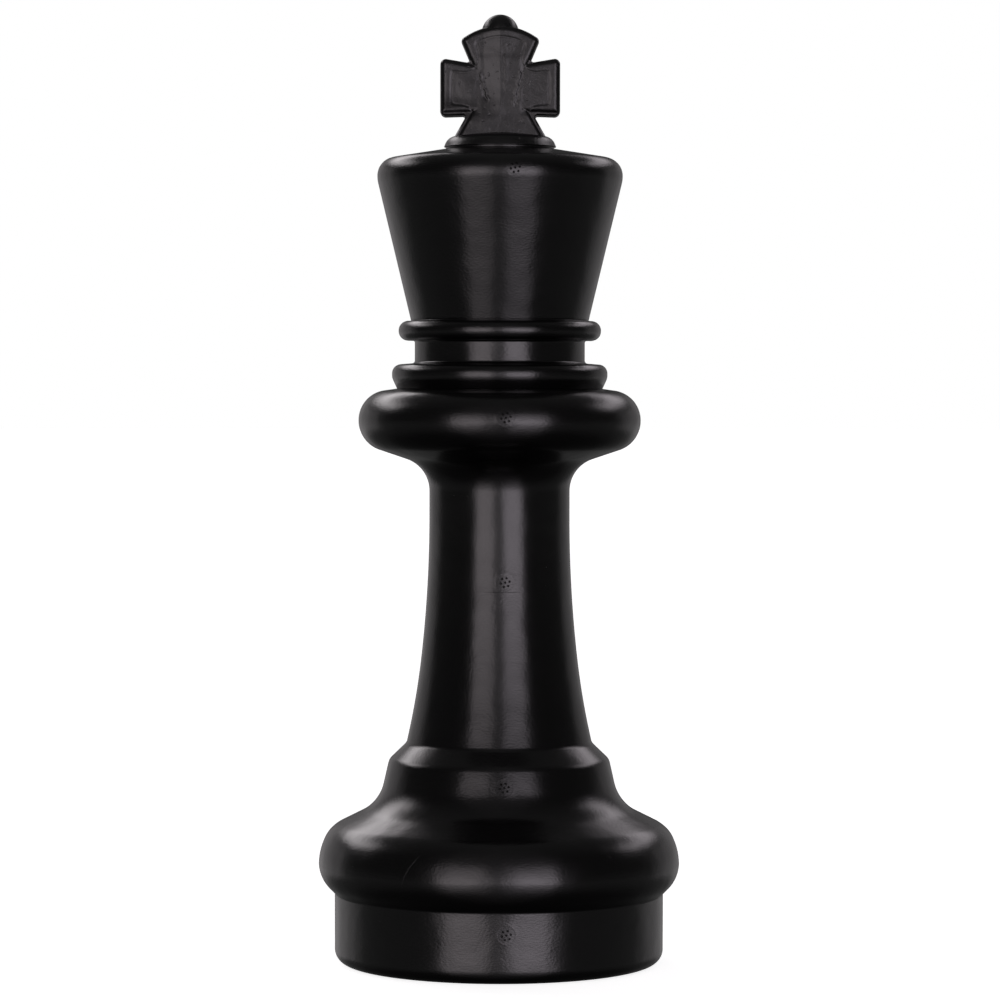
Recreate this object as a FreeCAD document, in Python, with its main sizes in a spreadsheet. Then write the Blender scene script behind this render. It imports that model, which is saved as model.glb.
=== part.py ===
import FreeCAD, Part
import math
import os
import Sketcher

# Giant lawn chess king: a hollow body with a collar, a lift-off head with a cross finial,
# and a screw plug in the base through which the drum is ballasted with sand.
# Millimetres, +Z up, origin on the floor under the axis, the cross facing -Y.

V = FreeCAD.Vector
doc = FreeCAD.newDocument("giant_chess_king")
sheet = doc.addObject("Spreadsheet::Sheet", "Sizes")
size = {}


def put(name, value):
    """Store one driving dimension in the next row of the sheet, under its own name."""
    row = len(size) + 1
    sheet.set("A%d" % row, name)
    sheet.set("B%d" % row, "%.4f" % value)
    sheet.setAlias("B%d" % row, name)
    size[name] = round(value, 4)


# ---------------------------------------------------------------- driving dimensions

DIMENSIONS = {
    "wall": 3.2,               # blow-moulded wall of the body
    "head_wall": 3.0,          # blow-moulded wall of the head and the finial
    "seat_z": 385.2,           # plane where the head rests on the collar
    "seat_radius": 69.0,
    "spigot_radius": 53.3,     # neck of the body, inside the head
    "spigot_top_z": 424.0,
    "socket_radius": 53.9,     # bore of the head's neck
    "ring_radius": 52.0,       # O-ring in the spigot's groove
    "ring_z": 409.0,
    "ring_section": 1.5,
    "groove_radius": 50.2,
    "groove_half": 1.8,
    "recess_z": 14.0,          # dished underside, where the fill plug sits
    "port_radius": 22.0,       # fill port
    "port_boss_radius": 28.0,
    "port_top_z": 34.0,
    "thread_pitch": 5.0,
    "thread_depth": 1.5,
    "thread_play": 0.4,
    "thread_foot_half": 1.4,   # half width of a ridge at its foot
    "thread_crest_half": 0.7,
    "ridge_sink": 0.4,         # how far a ridge's foot is sunk in its cylinder
    "groove_lap": 0.6,         # how far a groove's mouth stands clear of its bore
    "plug_play": 0.6,
    "plug_head_radius": 30.0,
    "plug_head_thick": 4.5,
    "plug_rim_round": 1.5,
    "plug_seat_round": 0.6,
    "plug_tip_round": 1.2,
    "plug_floor": 2.0,         # thickness of the plug's cup above the gasket's plane
    "plug_thread_length": 8.0,
    "plug_top_z": 31.0,
    "plug_grip_length": 46.0,
    "plug_grip_width": 8.0,
    "plug_grip_height": 5.5,
    "gasket_thick": 1.5,
    "gasket_inner": 24.0,
    "gasket_outer": 29.0,
    "sand_top_z": 60.0,
    "sand_gap": 0.3,
    "drum_top_z": 100.0,       # the sand is shaped from the body up to here, then cut level
    "finial_seat_z": 545.2,
    "stud_radius": 14.0,
    "stud_hole_play": 0.3,
    "stud_core": 12.5,
    "stud_bore": 8.0,
    "stud_end_z": 524.0,
    "stud_shoulder_length": 4.0,
    "stud_root_lap": 2.0,      # how far the stud's core runs up into the flange
    "stud_bore_lap": 12.0,     # how far its bore runs up into the hollow cross
    "stud_thread_start": 3.2,  # above the stud's end
    "stud_thread_stop": 8.0,   # below the finial's seat
    "nut_thread_turns": 5.0,
    "washer_radius": 24.0,
    "washer_thick": 2.0,
    "nut_flats": 40.0,
    "nut_thick": 11.0,
    "cross_thick": 26.0,
    "cross_edge": 2.4,
    "ball_radius": 12.0,
    "ball_z": 623.0,
}
for dimension_name, dimension_value in DIMENSIONS.items():
    put(dimension_name, dimension_value)

# How far a cutting outline runs past the faces that it opens.
overcut = 1.0

# Corners of the outlines: name, distance from the axis, height, rounding radius.
BODY_OUTLINE = [
    ("dish_middle", 0.0, size["recess_z"], 0.0),
    ("dish_edge", 82.0, size["recess_z"], 9.0),
    ("rest_inner", 90.0, 0.0, 4.0),
    ("foot_edge", 110.1, 0.0, 9.5),
    ("foot_top", 110.2, 45.2, 0.6),
    ("bulge_root", 110.8, 45.5, 0.3),
    ("bulge_low", 120.9, 57.2, 24.0),
    ("bulge_high", 120.9, 75.2, 41.0),
    ("bulge_turn", 114.0, 90.7, 22.0),
    ("tier_root", 80.5, 107.5, 29.0),
    ("tier_top", 73.9, 136.7, 7.0),
    ("shaft_root", 62.2, 147.9, 3.0),
    ("shaft_taper", 55.3, 178.9, 500.0),
    ("shaft_slim", 46.95, 252.3, 840.0),
    ("shaft_flare", 46.95, 333.0, 22.5),
    ("collar_low", 94.4, 349.0, 20.5),
    ("collar_high", 94.4, 381.4, 20.0),
    ("seat_edge", size["seat_radius"], size["seat_z"], 0.5),
    ("spigot_root", size["spigot_radius"], size["seat_z"], 0.0),
    ("groove_low", size["spigot_radius"], size["ring_z"] - size["groove_half"], 0.3),
    ("groove_floor_low", size["groove_radius"], size["ring_z"] - size["groove_half"], 0.3),
    ("groove_floor_high", size["groove_radius"], size["ring_z"] + size["groove_half"], 0.3),
    ("groove_high", size["spigot_radius"], size["ring_z"] + size["groove_half"], 0.3),
    ("spigot_shoulder", size["spigot_radius"], size["spigot_top_z"], 5.0),
    ("spigot_middle", 0.0, size["spigot_top_z"] + 3.0, 0.0),
]
HEAD_OUTLINE = [
    ("head_foot", 0.0, size["seat_z"], 0.0),
    ("ring_two_foot", 68.8, size["seat_z"], 0.5),
    ("ring_two_low", 72.1, 392.4, 8.0),
    ("ring_two_high", 72.1, 401.0, 6.0),
    ("neck_low", 56.9, 402.2, 2.0),
    ("neck_high", 56.9, 417.3, 1.5),
    ("ring_one_low", 67.7, 417.3, 6.3),
    ("ring_one_high", 67.7, 430.3, 6.3),
    ("crown_root", 59.4, 430.5, 0.4),
    ("crown_wide", 82.0, 524.6, 20.0),
    ("crown_rim", 82.0, 537.7, 12.0),
    ("seat_rim", 36.6, size["finial_seat_z"], 0.0),
    ("crown_middle", 0.0, size["finial_seat_z"], 0.0),
]
FLANGE_OUTLINE = [
    ("flange_foot_middle", 0.0, size["finial_seat_z"], 0.0),
    ("flange_foot", 36.2, size["finial_seat_z"], 0.3),
    ("flange_step", 36.2, size["finial_seat_z"] + 1.3, 0.3),
    ("flange_low", 37.6, size["finial_seat_z"] + 1.3, 0.3),
    ("flange_high", 34.8, 553.2, 8.0),
    ("flange_middle", 0.0, 557.5, 0.0),
]
# Right half of the cross, from the top of its upper arm down to the flange.
CROSS_OUTLINE = [
    ("arm_crest", 0.0, 635.0, 42.0),
    ("upper_arm_tip", 26.4, 617.7, 2.8),
    ("upper_notch", 19.7, 602.1, 1.6),
    ("side_arm_high", 39.9, 605.5, 3.6),
    ("side_arm_low", 39.9, 566.7, 3.6),
    ("lower_notch", 22.4, 567.3, 1.6),
    ("lower_arm_foot", 32.1, 550.0, 0.0),
]


# ---------------------------------------------------------------- outlines and sketches

def inset(outline, gap, suffix, ring=False):
    """An anticlockwise outline moved inwards by gap. Outward rounds shrink by it and inward ones grow."""
    moved = []
    last = len(outline) - 1
    for i, (name, x, z, rounding) in enumerate(outline):
        here = V(x, z, 0)
        before = V(outline[i - 1][1], outline[i - 1][2], 0)
        after = V(outline[(i + 1) % (last + 1)][1], outline[(i + 1) % (last + 1)][2], 0)
        into = (here - before).normalize()
        out = (after - here).normalize()
        if not ring and i == 0:
            into = out
        if not ring and i == last:
            out = into
        normals = V(-into.y - out.y, into.x + out.x, 0)
        shift = normals * (gap / (1 + into.dot(out)))
        place = here + shift
        outward = into.cross(out).z > 0
        new_round = rounding - gap if outward else rounding + gap
        if x == 0.0:
            place.x = 0.0
        moved.append((name + suffix, place.x, place.y, max(new_round, 0.4) if rounding else 0.0))
    return moved


def put_outline(outline):
    """Store an outline's corners and rounds in the sheet, unless they are there already."""
    for name, x, z, rounding in outline:
        if name + "_x" in size:
            continue
        put(name + "_x", x)
        put(name + "_z", z)
        if rounding:
            put(name + "_round", rounding)


def cylinder(label, radius, low, high):
    """A plain outline of a cylinder about the axis, for turning."""
    return [
        (label + "_low_axis", 0.0, low, 0.0),
        (label + "_low", radius, low, 0.0),
        (label + "_high", radius, high, 0.0),
        (label + "_high_axis", 0.0, high, 0.0),
    ]


# Heights of the hidden pieces, worked out from the planes that they bear on.
washer_top = size["finial_seat_z"] - size["head_wall"]
washer_low = washer_top - size["washer_thick"]
nut_low = washer_low - size["nut_thick"]
nut_bore_radius = size["stud_core"] + size["thread_play"]
gasket_low = size["recess_z"] - size["gasket_thick"]
plug_low = gasket_low - size["plug_head_thick"]
grip_low = plug_low - size["plug_grip_height"]
plug_barrel_radius = size["port_radius"] - size["plug_play"]
loose_stud_radius = size["stud_radius"] + size["stud_hole_play"]

drum_top = size["drum_top_z"]
drum = [corner for corner in BODY_OUTLINE if corner[2] < drum_top] + [("drum_cap", 0.0, drum_top, 0.0)]
half = CROSS_OUTLINE[1:]
left_half = [(name + "_left", -x, z, rounding) for name, x, z, rounding in half]
cross_outline = CROSS_OUTLINE[:1] + left_half + half[::-1]
plug_outline = [
    ("plug_foot_axis", 0.0, plug_low, 0.0),
    ("plug_head_low", size["plug_head_radius"], plug_low, size["plug_rim_round"]),
    ("plug_head_high", size["plug_head_radius"], gasket_low, size["plug_seat_round"]),
    ("plug_barrel_foot", plug_barrel_radius, gasket_low, 0.0),
    ("plug_barrel_top", plug_barrel_radius, size["plug_top_z"], size["plug_tip_round"]),
    ("plug_top_axis", 0.0, size["plug_top_z"], 0.0),
]

OUTLINES = {
    "body_outside": BODY_OUTLINE,
    "body_hollow": inset(BODY_OUTLINE, size["wall"], "_inside"),
    "sand_fill": inset(drum, size["wall"] + size["sand_gap"], "_sand"),
    "head_outside": HEAD_OUTLINE,
    "head_hollow": inset(HEAD_OUTLINE, size["head_wall"], "_inside"),
    "cross_outside": cross_outline,
    "cross_inside": inset(cross_outline, size["head_wall"], "_inside", ring=True),
    "flange": FLANGE_OUTLINE,
    "plug_outside": plug_outline,
}

# Plain cylinders, added or cut: radius, lower end, upper end.
CYLINDERS = {
    "port_boss": (size["port_boss_radius"], size["recess_z"], size["port_top_z"]),
    "port_bore": (size["port_radius"], size["recess_z"] - overcut, size["port_top_z"] + overcut),
    "sand_level": (size["drum_top_z"] * 1.3, size["sand_top_z"], size["drum_top_z"] + 2 * overcut),
    "sand_bore": (size["port_boss_radius"] + size["sand_gap"], 0.0, size["port_top_z"] + size["sand_gap"]),
    "socket_mouth": (size["socket_radius"], size["seat_z"] - overcut, size["seat_z"] + 2 * size["head_wall"]),
    "stud_hole": (loose_stud_radius, washer_top - 2 * overcut, size["finial_seat_z"] + overcut),
    "stud": (size["stud_core"], size["stud_end_z"], size["finial_seat_z"] + size["stud_root_lap"]),
    "stud_shoulder": (size["stud_radius"], size["finial_seat_z"] - size["stud_shoulder_length"],
                      size["finial_seat_z"] + overcut),
    "stud_hollow": (size["stud_bore"], size["stud_end_z"] - overcut,
                    size["finial_seat_z"] + size["stud_bore_lap"]),
    "washer_disc": (size["washer_radius"], washer_low, washer_top),
    "washer_hole": (loose_stud_radius, washer_low - overcut, washer_top + overcut),
    "nut_hole": (nut_bore_radius, nut_low - overcut, washer_low + overcut),
    "gasket_disc": (size["gasket_outer"], gasket_low, size["recess_z"]),
    "gasket_hole": (size["gasket_inner"], gasket_low - overcut, size["recess_z"] + overcut),
    "plug_cup": (plug_barrel_radius - size["head_wall"], gasket_low + size["plug_floor"],
                 size["plug_top_z"] + overcut),
}
for name, (radius, low, high) in CYLINDERS.items():
    OUTLINES[name] = cylinder(name, radius, low, high)
for outline in OUTLINES.values():
    put_outline(outline)


# ---------------------------------------------------------------- sketches and features

def role_plane(body, role):
    """One of a body's own origin planes."""
    return [f for f in body.Origin.OriginFeatures if f.Role == role][0]


def new_body(label):
    body = doc.addObject("PartDesign::Body", label)
    body.Label = label
    return body


def new_sketch(body, name, role="XZ_Plane"):
    sketch = body.newObject("Sketcher::SketchObject", name)
    sketch.AttachmentSupport = (role_plane(body, role), [""])
    sketch.MapMode = "FlatFace"
    return sketch


def tangent_points(before, here, after, rounding):
    """Where a round of the given radius meets the two lines of a corner, and its middle point."""
    u = (before - here).normalize()
    v = (after - here).normalize()
    half = math.acos(max(-1.0, min(1.0, u.dot(v)))) / 2
    reach = rounding / math.tan(half)
    middle = (u + v).normalize()
    centre = here + middle * (rounding / math.sin(half))
    return here + u * reach, centre - middle * rounding, here + v * reach


def draw(sketch, outline):
    """Draw a closed anticlockwise outline of lines and tangent rounds, bound to the sheet."""
    corners = [V(x, z, 0) for name, x, z, rounding in outline]
    count = len(corners)
    rules = []
    bound = {}
    ends = []
    starts = []
    turns_left = []
    geometry = []
    for i, (name, x, z, rounding) in enumerate(outline):
        before = corners[i - 1]
        after = corners[(i + 1) % count]
        start = middle = end = corners[i]
        left = (corners[i] - before).cross(after - corners[i]).z > 0
        if rounding:
            start, middle, end = tangent_points(before, corners[i], after, rounding)
            geometry.append(Part.Arc(start, middle, end) if left else Part.Arc(end, middle, start))
        starts.append(start)
        ends.append(end)
        turns_left.append(left)
    rounds = len(geometry)
    for i in range(count):
        geometry.append(Part.LineSegment(ends[i], starts[(i + 1) % count]))
    sketch.addGeometry(geometry, False)
    arc = 0
    for i, (name, x, z, rounding) in enumerate(outline):
        line_in = rounds + (i - 1) % count
        line_out = rounds + i
        held = [(line_in, 2, starts[i])]
        if rounding:
            first, second = (1, 2) if turns_left[i] else (2, 1)
            rules.append(Sketcher.Constraint("Coincident", line_in, 2, arc, first))
            rules.append(Sketcher.Constraint("Coincident", arc, second, line_out, 1))
            bound[len(rules)] = name + "_round"
            rules.append(Sketcher.Constraint("Radius", arc, rounding))
            held.append((line_out, 1, ends[i]))
            arc += 1
        else:
            rules.append(Sketcher.Constraint("Coincident", line_in, 2, line_out, 1))
            bound[len(rules)] = name + "_x"
            bound[len(rules) + 1] = name + "_z"
        for line, end_number, place in held:
            rules.append(Sketcher.Constraint("DistanceX", -1, 1, line, end_number, place.x))
            rules.append(Sketcher.Constraint("DistanceY", -1, 1, line, end_number, place.y))
    sketch.addConstraint(rules)
    for index, alias in bound.items():
        sketch.setExpression("Constraints[%d]" % index, "Sizes." + alias)


def turn(body, name, cut=False):
    """Turn an outline about the axis, as added or as removed material."""
    sketch = new_sketch(body, name + "_outline")
    draw(sketch, OUTLINES[name])
    feature = body.newObject("PartDesign::Groove" if cut else "PartDesign::Revolution", name)
    feature.Profile = sketch
    feature.ReferenceAxis = (sketch, ["V_Axis"])
    feature.Angle = 360
    doc.recompute()
    return feature


def extrude(body, name, length, cut=False):
    """Add or cut an outline to equal depths in front of and behind the axis plane."""
    sketch = new_sketch(body, name + "_outline")
    draw(sketch, OUTLINES[name])
    feature = body.newObject("PartDesign::Pocket" if cut else "PartDesign::Pad", name)
    feature.Profile = sketch
    feature.Midplane = True
    feature.setExpression("Length", length)
    doc.recompute()
    return feature


def thread(body, name, radius, depth, low, high, cut=False, play=0.0):
    """A helical ridge, or the groove it runs in, on a cylinder of the given radius."""
    sketch = new_sketch(body, name + "_section")
    root = radius - (size["groove_lap"] if cut else size["ridge_sink"])
    half_root = size["thread_foot_half"] + play
    half_crest = size["thread_crest_half"] + play
    points = [
        V(root, low - half_root, 0),
        V(radius + depth, low - half_crest, 0),
        V(radius + depth, low + half_crest, 0),
        V(root, low + half_root, 0),
    ]
    sketch.addGeometry([Part.LineSegment(points[i], points[(i + 1) % 4]) for i in range(4)], False)
    sketch.addConstraint([Sketcher.Constraint("Coincident", i, 2, (i + 1) % 4, 1) for i in range(4)])
    helix = body.newObject("PartDesign::SubtractiveHelix" if cut else "PartDesign::AdditiveHelix", name)
    helix.Profile = sketch
    helix.ReferenceAxis = (sketch, ["V_Axis"])
    helix.Mode = 0
    helix.Pitch = size["thread_pitch"]
    helix.Height = high - low
    helix.LeftHanded = False
    helix.setExpression("Pitch", "Sizes.thread_pitch")
    doc.recompute()
    return helix


# ---------------------------------------------------------------- body shell

body_shell = new_body("body_shell")
turn(body_shell, "body_outside")
turn(body_shell, "body_hollow", cut=True)
turn(body_shell, "port_boss")
turn(body_shell, "port_bore", cut=True)
port_thread_low = size["recess_z"] - size["thread_pitch"]
port_thread_high = size["port_top_z"] + size["thread_pitch"]
port_thread_depth = size["thread_depth"] - size["plug_play"] + size["thread_play"]
thread(body_shell, "port_thread", size["port_radius"], port_thread_depth, port_thread_low, port_thread_high,
       cut=True, play=size["thread_play"])

# ---------------------------------------------------------------- sand ballast

sand_ballast = new_body("sand_ballast")
turn(sand_ballast, "sand_fill")
turn(sand_ballast, "sand_level", cut=True)
turn(sand_ballast, "sand_bore", cut=True)

# ---------------------------------------------------------------- neck ring

neck_o_ring = doc.addObject("Part::Torus", "neck_o_ring")
neck_o_ring.Label = "neck_o_ring"
neck_o_ring.setExpression("Radius1", "Sizes.ring_radius")
neck_o_ring.setExpression("Radius2", "Sizes.ring_section")
neck_o_ring.setExpression("Placement.Base.z", "Sizes.ring_z")

# ---------------------------------------------------------------- head shell

head_shell = new_body("head_shell")
turn(head_shell, "head_outside")
turn(head_shell, "head_hollow", cut=True)
turn(head_shell, "socket_mouth", cut=True)
turn(head_shell, "stud_hole", cut=True)

# ---------------------------------------------------------------- cross finial

cross_finial = new_body("cross_finial")
cross_pad = extrude(cross_finial, "cross_outside", "Sizes.cross_thick")
face_y = size["cross_thick"] / 2
rim_edges = []
for number, edge in enumerate(cross_pad.Shape.Edges, start=1):
    flat = edge.BoundBox.YLength < 0.01
    if flat and abs(abs(edge.BoundBox.YMax) - face_y) < 0.01:
        rim_edges.append("Edge%d" % number)
cross_round = cross_finial.newObject("PartDesign::Fillet", "cross_round")
cross_round.Base = (cross_pad, rim_edges)
cross_round.setExpression("Radius", "Sizes.cross_edge")
doc.recompute()
turn(cross_finial, "flange")
ball = cross_finial.newObject("PartDesign::AdditiveSphere", "ball")
ball.setExpression("Radius", "Sizes.ball_radius")
ball.Placement = FreeCAD.Placement(V(0, 0, size["ball_z"]), FreeCAD.Rotation())
doc.recompute()
turn(cross_finial, "stud")
turn(cross_finial, "stud_shoulder")
extrude(cross_finial, "cross_inside", "Sizes.cross_thick - 2 * Sizes.head_wall", cut=True)
turn(cross_finial, "stud_hollow", cut=True)
stud_thread_low = size["stud_end_z"] + size["stud_thread_start"]
stud_thread_high = size["finial_seat_z"] - size["stud_thread_stop"]
thread(cross_finial, "stud_thread", size["stud_core"], size["thread_depth"], stud_thread_low,
       stud_thread_high)

# ---------------------------------------------------------------- finial washer and nut

finial_washer = new_body("finial_washer")
turn(finial_washer, "washer_disc")
turn(finial_washer, "washer_hole", cut=True)

finial_nut = new_body("finial_nut")
hexagon = new_sketch(finial_nut, "nut_hexagon", "XY_Plane")
hexagon.AttachmentOffset = FreeCAD.Placement(V(0, 0, nut_low), FreeCAD.Rotation())
reach = size["nut_flats"] / math.sqrt(3.0)
tips = [V(reach * math.cos(math.pi * k / 3), reach * math.sin(math.pi * k / 3), 0) for k in range(6)]
hexagon.addGeometry([Part.LineSegment(tips[k], tips[(k + 1) % 6]) for k in range(6)], False)
hexagon.addConstraint([Sketcher.Constraint("Coincident", k, 2, (k + 1) % 6, 1) for k in range(6)])
nut_pad = finial_nut.newObject("PartDesign::Pad", "nut_pad")
nut_pad.Profile = hexagon
nut_pad.setExpression("Length", "Sizes.nut_thick")
doc.recompute()
turn(finial_nut, "nut_hole", cut=True)
nut_thread_low = stud_thread_low - size["thread_pitch"]
thread(finial_nut, "nut_thread", nut_bore_radius, size["thread_depth"], nut_thread_low,
       nut_thread_low + size["nut_thread_turns"] * size["thread_pitch"], cut=True, play=size["thread_play"])

# ---------------------------------------------------------------- fill plug and its gasket

plug_gasket = new_body("plug_gasket")
turn(plug_gasket, "gasket_disc")
turn(plug_gasket, "gasket_hole", cut=True)

fill_plug = new_body("fill_plug")
turn(fill_plug, "plug_outside")
turn(fill_plug, "plug_cup", cut=True)
grip = fill_plug.newObject("PartDesign::AdditiveBox", "plug_grip")
grip.setExpression("Length", "Sizes.plug_grip_length")
grip.setExpression("Width", "Sizes.plug_grip_width")
grip.setExpression("Height", "Sizes.plug_grip_height + 1")
grip_corner = V(-size["plug_grip_length"] / 2, -size["plug_grip_width"] / 2, grip_low)
grip.Placement = FreeCAD.Placement(grip_corner, FreeCAD.Rotation())
doc.recompute()
plug_thread_low = port_thread_low + 2 * size["thread_pitch"]
thread(fill_plug, "plug_thread", plug_barrel_radius, size["thread_depth"], plug_thread_low,
       plug_thread_low + size["plug_thread_length"])

# ---------------------------------------------------------------- checks and STEP files

PIECES = [body_shell, sand_ballast, neck_o_ring, head_shell, cross_finial, finial_washer, finial_nut,
          plug_gasket, fill_plug]

doc.recompute()
for item in doc.Objects:
    if "Invalid" in item.State or "Error" in item.State:
        raise RuntimeError("%s failed: %s" % (item.Label, item.State))
os.makedirs("parts", exist_ok=True)
for piece in PIECES:
    shape = piece.Shape
    if shape.isNull() or not shape.isValid() or shape.Volume <= 0:
        raise RuntimeError("%s has no valid shape" % piece.Label)
    print("%-14s solids %d  volume %9.1f cm3  %s" % (
        piece.Label, len(shape.Solids), shape.Volume / 1000, shape.BoundBox))
    shape.exportStep("parts/%s.step" % piece.Label)
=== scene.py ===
import itertools
import math

import bmesh
import bpy
import numpy as np
from bpy.props import FloatProperty, FloatVectorProperty, IntProperty, PointerProperty
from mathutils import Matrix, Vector
from mathutils.geometry import delaunay_2d_cdt


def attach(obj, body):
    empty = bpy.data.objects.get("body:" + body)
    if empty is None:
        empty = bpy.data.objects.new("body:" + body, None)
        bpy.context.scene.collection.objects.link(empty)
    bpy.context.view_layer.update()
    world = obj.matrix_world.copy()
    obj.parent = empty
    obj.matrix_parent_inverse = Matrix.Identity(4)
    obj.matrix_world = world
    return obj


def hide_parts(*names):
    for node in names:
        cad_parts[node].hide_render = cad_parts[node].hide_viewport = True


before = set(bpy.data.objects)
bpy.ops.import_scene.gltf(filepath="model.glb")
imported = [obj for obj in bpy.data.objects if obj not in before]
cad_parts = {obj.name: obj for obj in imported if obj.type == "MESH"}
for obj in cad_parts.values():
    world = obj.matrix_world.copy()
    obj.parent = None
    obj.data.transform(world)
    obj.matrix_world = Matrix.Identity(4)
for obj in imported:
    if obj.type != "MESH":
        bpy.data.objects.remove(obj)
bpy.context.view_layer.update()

bl_info = {
    "name": "Lawn Chess King",
    "version": (1, 0, 0),
    "blender": (4, 5, 0),
    "location": "View3D > Sidebar > Chess King",
    "description": "Builds the moulded shells, cross finial, plug and studio of a giant lawn chess king",
    "category": "Object",
}

MM = 0.001

# ------------------------------------------------------------------ outlines in millimetres
# Corners as distance from the axis, height and rounding radius.

SEAT_Z = 385.2
RECESS_Z = 14.0
PORT_RADIUS = 22.0
PORT_TOP_Z = 34.0
BOSS_RADIUS = 28.0
SPIGOT_RADIUS = 53.3
SPIGOT_TOP_Z = 424.0
RING_Z = 409.0
GROOVE_HALF = 1.8
GROOVE_RADIUS = 50.2
FINIAL_SEAT_Z = 545.2
THREAD_PITCH = 5.0

BODY_OUTSIDE = [
    (PORT_RADIUS, RECESS_Z, 0.0),
    (82.0, RECESS_Z, 9.0),
    (90.0, 0.0, 4.0),
    (110.1, 0.0, 9.5),
    (110.2, 47.2, 2.4),
    (120.9, 58.0, 23.0),
    (120.9, 75.2, 41.0),
    (114.0, 90.7, 22.0),
    (80.5, 107.5, 29.0),
    (73.9, 136.7, 8.0),
    (62.2, 147.9, 6.0),
    (55.3, 178.9, 500.0),
    (46.95, 252.3, 840.0),
    (46.95, 333.0, 22.5),
    (94.4, 349.0, 20.5),
    (94.4, 381.4, 20.0),
    (69.0, SEAT_Z, 0.5),
    (SPIGOT_RADIUS, SEAT_Z, 0.0),
    (SPIGOT_RADIUS, RING_Z - GROOVE_HALF, 0.3),
    (GROOVE_RADIUS, RING_Z - GROOVE_HALF, 0.3),
    (GROOVE_RADIUS, RING_Z + GROOVE_HALF, 0.3),
    (SPIGOT_RADIUS, RING_Z + GROOVE_HALF, 0.3),
    (SPIGOT_RADIUS, SPIGOT_TOP_Z, 5.0),
    (0.0, SPIGOT_TOP_Z + 3.0, 0.0),
]
HEAD_OUTSIDE = [
    (53.9, SEAT_Z, 0.0),
    (68.8, SEAT_Z, 0.5),
    (72.1, 392.4, 8.0),
    (72.1, 401.0, 6.0),
    (56.9, 402.2, 2.0),
    (56.9, 417.3, 1.5),
    (67.7, 417.3, 6.3),
    (67.7, 430.3, 6.3),
    (59.4, 430.5, 0.4),
    (82.0, 524.6, 20.0),
    (82.0, 537.7, 12.0),
    (36.6, FINIAL_SEAT_Z, 0.6),
    (14.3, FINIAL_SEAT_Z, 0.0),
]
FLANGE_OUTSIDE = [
    (36.2, FINIAL_SEAT_Z, 0.3),
    (36.2, FINIAL_SEAT_Z + 1.3, 0.3),
    (37.6, FINIAL_SEAT_Z + 1.3, 0.3),
    (34.8, 553.2, 8.0),
    (0.0, 557.5, 0.0),
]
BALL_RADIUS = 12.4
BALL_Z = 622.6
STUD_BORE = 8.0
STUD_BORE_TOP_Z = 552.0
STUD_RADIUS = 12.5
STUD_THREAD_Z = (525.5, 538.8)
STUD_OUTSIDE = [
    (STUD_BORE, 524.0, 0.0),
    (STUD_RADIUS, 524.0, 0.8),
    (STUD_RADIUS, 541.2, 0.3),
    (14.0, 541.2, 0.4),
    (14.0, FINIAL_SEAT_Z, 0.0),
]
# Right half of the cross from its crest downwards, as sideways distance, height and rounding.
CROSS_HALF = [
    (0.0, 635.0, 42.0),
    (26.4, 617.7, 2.8),
    (19.7, 602.1, 1.6),
    (39.9, 605.5, 3.6),
    (39.9, 566.7, 3.6),
    (22.4, 567.3, 1.6),
    (32.1, 550.0, 0.0),
]
CROSS_HALF_THICK = 13.0
CROSS_EDGE = 4.0
CROSS_MIDDLE_Z = 580.0
LOW_NOTCH_SINK = 1.2
# Fold lines on the cross's faces: start, end and height.
CROSS_FOLDS = (
    ((-14.0, 596.0), (-7.5, 576.5), 0.34),
    ((15.3, 598.0), (9.8, 572.5), -0.34),
    ((3.6, 615.0), (3.4, 583.0), 0.08),
)

BODY_WALL = 3.2
HEAD_WALL = 3.0
# Threads: height where one starts, half width of its crest, width of its flank and depth.
PORT_THREAD = (9.0, 1.58, 0.48, 1.3)
STUD_THREAD = (527.2, 1.4, 0.7, 1.5)

# The parting line shows only this far from the axis and clear of the shells' ends.
SEAM_LEAST_RADIUS = 40.0
SEAM_LOW_Z = 2.5
SEAM_CLEAR = 1.0
# A height is looked up on the skin only where it is this far from the axis.
AXIS_CLEAR = 30.0

# Vents: height and turn aside in radians, how proud the circle stands, and the holes' layout and depths.
BODY_VENTS = ((32.7, 0.0), (124.9, 0.0), (257.7, 0.035), (366.6, 0.0))
HEAD_VENTS = ((528.8, 0.0),)
BODY_VENT_PROUD = 0.03
HEAD_VENT_PROUD = 0.004
HOLE_PITCH = 3.0
HOLE_TURN = math.radians(12)
HOLE_SIDES = 12
HOLE_FLOOR = -0.7
HOLE_TIP = -2.2
CIRCLE_SIDES = 60

# Witness lines: start and end as (azimuth, height), then bow, width and lift.
SHAFT_LINES = (((-0.27, 251.3), (0.27, 251.3), 0.0, 0.4, 0.08),)
BULGE_LINES = (
    ((-0.42, 88.0), (-0.56, 58.0), -0.03, 0.3, 0.03),
    ((0.63, 88.0), (0.65, 63.0), 0.03, 0.3, 0.02),
)
CROWN_LINES = (
    ((-0.2, 486.0), (0.12, 486.0), 0.0, 0.35, 0.05),
    ((0.07, 529.0), (0.3, 531.5), 0.0, 0.8, 0.05),
)

FLOOR_HALF = 30.0
FLOOR_DROP = 0.0002
RIGHT_RIM_SHARE = 0.58
LOW_RADIANCE = (0.33, 0.23)
NODE_COLUMNS = 8
NODE_STEP = 220


# ------------------------------------------------------------------ settings

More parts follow.
